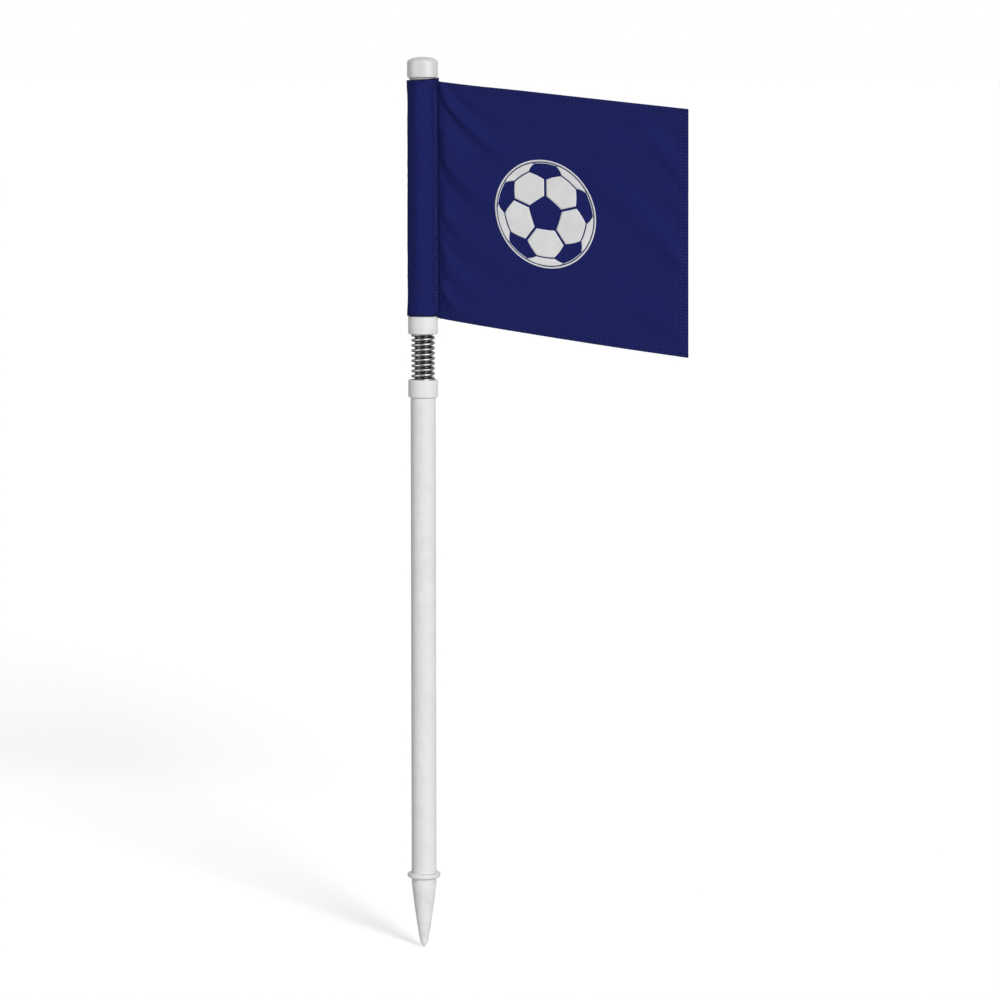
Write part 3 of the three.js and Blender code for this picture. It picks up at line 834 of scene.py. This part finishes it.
def cloth_half(from_seam, on_hoist):
    """Half the thickness there: three layers in a hem, pressed in at the sewn rows, thin at the very edge."""
    from_edge = min(on_hoist, hoist_height - on_hoist)
    from_fly = panel_length - from_seam
    folded = 1 - smooth_share(min(from_edge - hem_width, from_fly - fly_hem_width), -0.0004, 0.0006)
    half = (cloth_thickness + (hem_thickness - cloth_thickness) * folded) / 2
    for place, rows in ((from_edge, hem_rows), (from_fly, fly_hem_rows)):
        for row in rows:
            half -= row_dip * bell(place - row, row_dip_width) * folded
    rounded_edge = math.sqrt(max(1 - (1 - min(min(from_edge, from_fly) / edge_rounding, 1)) ** 2, 0))
    return half * (edge_share + (1 - edge_share) * rounded_edge)


def panel_layer(face):
    """The places of the panel's front, which is face -1, or of its back, which is face 1."""
    return lambda *flat: panel_place(*flat, face * cloth_half(*flat))


def hem_bends(hem, rows):
    """Depths from an edge where its hem bends: at the very edge, at each sewn row and at the hem's end."""
    bends = [0.00012, 0.0004, 0.0011, 0.0022, hem - 0.0005, hem + 0.0001, hem + 0.0007, hem + 0.0016]
    return bends + [row + shift for row in rows for shift in (-0.0009, -0.0004, 0, 0.0004, 0.0009)]


fly_bends, edge_bends = hem_bends(fly_hem_width, fly_hem_rows), hem_bends(hem_width, hem_rows)
seam_bends = [between_tabs + shift for shift in (-0.002, -0.0006, 0.0008, 0.0022, 0.0036, 0.0050)]
panel_rows = [("U", row) for row in hem_rows]
panel_rows += [("U", hoist_height - row) for row in hem_rows]
panel_rows += [("V", panel_length - row) for row in fly_hem_rows]
panel_navy = woven_polyester("navy panel polyester", navy_light, navy_dark, rows=panel_rows)
flag_panel = cloth_piece(
    "flag_panel_cloth",
    grid_places(panel_length, 150, seam_bends + [panel_length - bend for bend in fly_bends]),
    grid_places(hoist_height, 150, edge_bends + [hoist_height - bend for bend in edge_bends]),
    [panel_layer(-1), panel_layer(1)],
    panel_navy,
)
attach(flag_panel, "flag")
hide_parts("flag_panel")


# Ball print: a plain football drawn with its white six-sided patches and a rim, the common sign of the
# game, screen printed in white ink on both faces of the panel.
ball_radius, ball_across, ball_down = 0.100, 0.248 - seam_x, 0.2236
rim_width, rim_gap, rim_sides = 0.0030, 0.0022, 144
patch_share, patch_steps = 0.93, 9
ink_lift, ink_thickness = 0.00020, 0.00016
least_area = 2e-6


def ball_patches():
    """Corners, on a ball of radius one, of its white patches, with one five-sided patch at the front."""
    low, wide = 1 / math.sqrt(5), 2 / math.sqrt(5)

    def ring(extra_turn, height):
        turns = [math.pi / 2 + 2 * math.pi * i / 5 + extra_turn for i in range(5)]
        return [Vector((wide * math.cos(turn), wide * math.sin(turn), height)) for turn in turns]

    front = Vector((0, 0, 1))
    near, far = ring(0, low), ring(math.pi / 5, -low)
    patches = []
    for i in range(5):
        k = (i + 1) % 5
        for corners in ((front, near[i], near[k]), (near[i], far[i], near[k]), (far[i], far[k], near[k])):
            patch = []
            for first, second in zip(corners, corners[1:] + corners[:1]):
                patch += [first.lerp(second, 1 / 3).normalized(), first.lerp(second, 2 / 3).normalized()]
            patches.append(patch)
    return patches


def on_disc(spot):
    """A spot of the ball as seen from its front, held on the rim where it lies behind."""
    spot = spot.normalized()
    seen = Vector((spot.x, spot.y))
    return seen if spot.z > 0 else seen.normalized()


def print_piece(name, face):
    mesh = bmesh.new()
    cloth_map = mesh.loops.layers.uv.new("cloth")
    placed = {}

    def corner(seen):
        key = (round(seen.x, 5), round(seen.y, 5))
        if key not in placed:
            flat = (ball_across + seen.x * ball_radius, ball_down - seen.y * ball_radius)
            spot = panel_place(*flat, face * (cloth_half(*flat) + ink_lift))
            placed[key] = (mesh.verts.new(spot), flat)
        return placed[key]

    def patch(points):
        made = [corner(point) for point in points]
        area = sum(a.x * b.y - b.x * a.y for a, b in zip(points, points[1:] + points[:1]))
        if abs(area) < least_area or len({vertex for vertex, flat in made}) < len(made):
            return
        if face > 0:
            made.reverse()
        vertices = [vertex for vertex, flat in made]
        if mesh.faces.get(vertices) is None:
            for loop, (vertex, flat) in zip(mesh.faces.new(vertices).loops, made):
                loop[cloth_map].uv = flat

    inner = 1 - (rim_width + rim_gap) / ball_radius
    for corners in ball_patches():
        middle = sum(corners, Vector()) / 6
        for first, second in zip(corners, corners[1:] + corners[:1]):
            to_first, to_second = first - middle, second - middle
            rows = []
            for a in range(patch_steps + 1):
                ways = [to_first * (a - b) + to_second * b for b in range(a + 1)]
                rows.append([on_disc(middle + way * patch_share / patch_steps) * inner for way in ways])
            for a in range(patch_steps):
                for b in range(a + 1):
                    patch([rows[a][b], rows[a + 1][b], rows[a + 1][b + 1]])
                    if b < a:
                        patch([rows[a][b], rows[a + 1][b + 1], rows[a][b + 1]])
    hole = 1 - rim_width / ball_radius
    for i in range(rim_sides):
        turns = [2 * math.pi * (i + step) / rim_sides for step in (0, 1)]
        rim = [Vector((math.cos(turn), math.sin(turn))) for turn in turns]
        patch([rim[0] * hole, rim[0], rim[1], rim[1] * hole])
    piece = made_piece(name, mesh, white_ink)
    with_settings(piece.modifiers.new("ink thickness", "SOLIDIFY"), thickness=ink_thickness, offset=-1)
    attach(piece, "flag")
    return piece


white_ink = woven_polyester("white ink on polyester", (0.80, 0.80, 0.80), (0.72, 0.72, 0.73))
ball_prints = [print_piece("ball_print_front", -1), print_piece("ball_print_back", 1)]


# Sewing: polyester thread in even stitches of 6 mm, drawn into the cloth at each needle hole, on both
# faces. One row holds the sleeve to the panel and each end of the sleeve, and each hem has two.
stitch_sides = 6
stitch_lifts = ((0, -0.8, 0.5), (0.2, 0.3, 0.95), (0.5, 0.6, 1.0), (0.8, 0.3, 0.95), (1, -0.8, 0.5))
seam_thread_radius, hem_thread_radius, end_thread_radius = 0.00072, 0.00044, 0.00040
hem_stitch_gap, seam_stitch_gap, row_end_gap = 0.0009, 0.0014, 0.002


def sewing_thread(name, dull, bright):
    material, tree, shader = bare_finish(name)
    tone = uneven(tree, object_place(tree), scale=260, detail=2)
    colour = ramped(tree, tone, (0.35, dull), (0.65, bright))
    give(shader, {"Base Color": colour, "Roughness": 0.6, "Specular IOR Level": 0.12})
    return material


def add_stitch(mesh, start, end, outward, thread_radius):
    """One short closed length of thread that rises out of the cloth and goes back in."""
    along = (end - start).normalized()
    across = outward.cross(along).normalized()
    turns = [2 * math.pi / stitch_sides * side for side in range(stitch_sides)]
    rings = []
    for share, lift, size in stitch_lifts:
        centre = start.lerp(end, share) + outward * thread_radius * lift
        spots = [across * math.cos(turn) + outward * math.sin(turn) for turn in turns]
        rings.append([mesh.verts.new(centre + spot * thread_radius * size) for spot in spots])
    for low, high in zip(rings, rings[1:]):
        for side in range(stitch_sides):
            beside = (side + 1) % stitch_sides
            mesh.faces.new((low[side], low[beside], high[beside], high[side]))
    mesh.faces.new(rings[0])
    mesh.faces.new(rings[-1])


def sewn_piece(name, place, half, faces, rows, thread, thread_radius, gap):
    """The stitches of some rows on a cloth, whose place and half thickness are functions of a flat spot.

    A row has the way it runs over the cloth's map, its place across that, its start and its end.
    """
    mesh = bmesh.new()
    for way, position, start, end in rows:
        for hole in range(math.ceil(start / stitch_pitch), math.floor(end / stitch_pitch)):
            for face in faces:
                ends = []
                for spot in (hole * stitch_pitch + gap, (hole + 1) * stitch_pitch - gap):
                    flat = (spot, position) if way == "U" else (position, spot)
                    ends.append(place(*flat, face * half(*flat)))
                outward = (ends[1] - place(*flat, 0)).normalized()
                add_stitch(mesh, ends[0], ends[1], outward, thread_radius)
    bmesh.ops.recalc_face_normals(mesh, faces=mesh.faces)
    piece = made_piece(name, mesh, thread)
    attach(piece, "flag")
    return piece


def sleeve_half(along, height):
    return sleeve_cloth / 2


panel_runs = {
    "U": (between_tabs + row_end_gap, panel_length - row_end_gap),
    "V": (row_end_gap, hoist_height - row_end_gap),
}
hem_thread = sewing_thread("navy hem thread", (0.023, 0.031, 0.160), (0.035, 0.044, 0.200))
# the seam thread is lighter than the cloth, partly its own colour and partly a painted highlight of its gloss
seam_thread = sewing_thread("navy seam thread with painted highlight", (0.085, 0.110, 0.370), (0.125, 0.155, 0.450))
panel_stitches = sewn_piece(
    "flag_panel_sewing",
    panel_place,
    cloth_half,
    (-1, 1),
    [(way, row, *panel_runs[way]) for way, row in panel_rows],
    hem_thread,
    hem_thread_radius,
    hem_stitch_gap,
)
seam_stitches = sewn_piece(
    "flag_seam_sewing",
    sleeve_place,
    sleeve_half,
    (1,),
    [("V", seam, row_end_gap, sleeve_height - row_end_gap) for seam in sleeve_seams],
    seam_thread,
    seam_thread_radius,
    seam_stitch_gap,
)
sleeve_stitches = sewn_piece(
    "flag_sleeve_end_sewing",
    sleeve_place,
    sleeve_half,
    (1,),
    [("U", seam, tab_seam + row_end_gap, sleeve_seams[1] - row_end_gap) for seam in sleeve_end_seams],
    hem_thread,
    end_thread_radius,
    hem_stitch_gap,
)


# Studio: a white floor under the point of the spike and a white surround. A broad key light stands to the
# right of the camera, a weak fill to the left and a plain one behind, and three soft boxes show only in
# gloss. The camera stands level with the cap, looking down a little.
image_size = 1000
focal_pixels = 4100
horizon_row = 60
pole_column = 422.9
view_turn = math.radians(20)
view_distance = 7.848
view_height = 1.5785
sensor_width = 36

camera_data = with_settings(
    bpy.data.cameras.new("camera"),
    sensor_width=sensor_width,
    lens=sensor_width * focal_pixels / image_size,
    clip_end=1000,
)
camera = linked_object("camera", camera_data)
bpy.context.scene.camera = camera
pitch = math.atan((image_size / 2 - horizon_row) / focal_pixels)
aside = math.atan((image_size / 2 - pole_column) / focal_pixels)
heading = view_turn - aside
camera.location = (view_distance * math.sin(view_turn), -view_distance * math.cos(view_turn), view_height)


def away(turn, rise):
    """The way to a lamp from the object, by its turn from the front and its rise above the floor."""
    return Vector((math.sin(turn) * math.cos(rise), -math.cos(turn) * math.cos(rise), math.sin(rise)))


def look_along(thing, direction):
    thing.rotation_mode = "QUATERNION"
    thing.rotation_quaternion = direction.to_track_quat("-Z", "Y")


look_along(camera, -away(heading, pitch))

# far lamps: degrees of turn from the camera, of rise and of spread in the sky, strength, and whether a lamp
# is plain, which is one that throws no shadow and no glint
far_lamps = (
    ("key light", 24, 24, 16, 2.34, False),
    ("fill light", -55, 12, 30, 0.24, False),
    ("back light", 180, 8, 16, 1.5, True),
)
ambient_strength = 0.220
floor_light = ambient_strength
for name, turn, rise, width, strength, plain in far_lamps:
    sun = with_settings(bpy.data.lights.new(name, "SUN"), angle=math.radians(width), energy=strength)
    sun.use_shadow = not plain
    holder = linked_object(name, sun)
    holder.visible_glossy = not plain
    look_along(holder, -away(view_turn + math.radians(turn), math.radians(rise)))
    floor_light += strength * math.sin(math.radians(rise)) / math.pi

# soft boxes: degrees of turn from the camera and of rise, width, height and glow
soft_boxes = (
    ("left strip light", -56, 12, 2.4, 3.4, 4.6),
    ("right strip light", 46, 12, 2.2, 3.4, 6.3),
    ("top strip light", 12, 55, 2.4, 0.8, 6.0),
)
box_distance, box_aim = 3.0, Vector((0, 0, spring_middle + 0.2))
for name, turn, rise, width, height, glow in soft_boxes:
    box = with_settings(bpy.data.lights.new(name, "AREA"), shape="RECTANGLE", size=width, size_y=height)
    box.energy = 4 * glow * width * height
    holder = with_settings(linked_object(name, box), visible_diffuse=False, visible_camera=False)
    to_box = away(view_turn + math.radians(turn), math.radians(rise))
    holder.location = to_box * box_distance + box_aim
    look_along(holder, -to_box)


def seen_white(tree, plain, white):
    """Mixes to the white surround for rays that show it: the camera's, mirrored and passing ones."""
    shown = 0.0
    for rays in ("Is Camera Ray", "Is Glossy Ray", "Is Transmission Ray"):
        shown = number(tree, "MAXIMUM", add_node(tree, "LightPath", {}, rays), shown)
    return add_node(tree, "MixShader", {"Fac": shown, 1: plain, 2: white}, "Shader")


surround = bpy.data.worlds.new("white surround")
surround.use_nodes = True
bpy.context.scene.world = surround
tree = surround.node_tree
lighting = tree.nodes["Background"]
give(lighting, {"Color": (1, 1, 1, 1), "Strength": ambient_strength})
showing = add_node(tree, "Background", {"Color": (1, 1, 1, 1), "Strength": 1.0}, "Background")
surface = seen_white(tree, lighting.outputs["Background"], showing)
give(tree.nodes["World Output"], {"Surface": surface})

floor_half, floor_drop, floor_tone, floor_white = 400.0, 0.0005, 0.80, 1.005
floor_level = spike_low.z - floor_drop
signs = ((-1, -1), (1, -1), (1, 1), (-1, 1))
floor_mesh = bpy.data.meshes.new("floor")
floor_mesh.from_pydata([(x * floor_half, y * floor_half, floor_level) for x, y in signs], [], [(0, 1, 2, 3)])
floor = linked_object("floor", floor_mesh)
floor_paint, tree, painted = bare_finish("white studio floor")
floor_colour = (floor_tone, floor_tone, floor_tone, 1)
give(painted, {"Base Color": floor_colour, "Roughness": 0.9, "Specular IOR Level": 0.0})
glow = add_node(tree, "Emission", {"Strength": floor_white - floor_tone * floor_light}, "Emission")
lifted = add_node(tree, "AddShader", {0: painted.outputs["BSDF"], 1: glow}, "Shader")
surface = seen_white(tree, painted.outputs["BSDF"], lifted)
give(tree.nodes["Material Output"], {"Surface": surface})
floor_mesh.materials.append(floor_paint)

bpy.context.scene.view_settings.view_transform = "Standard"
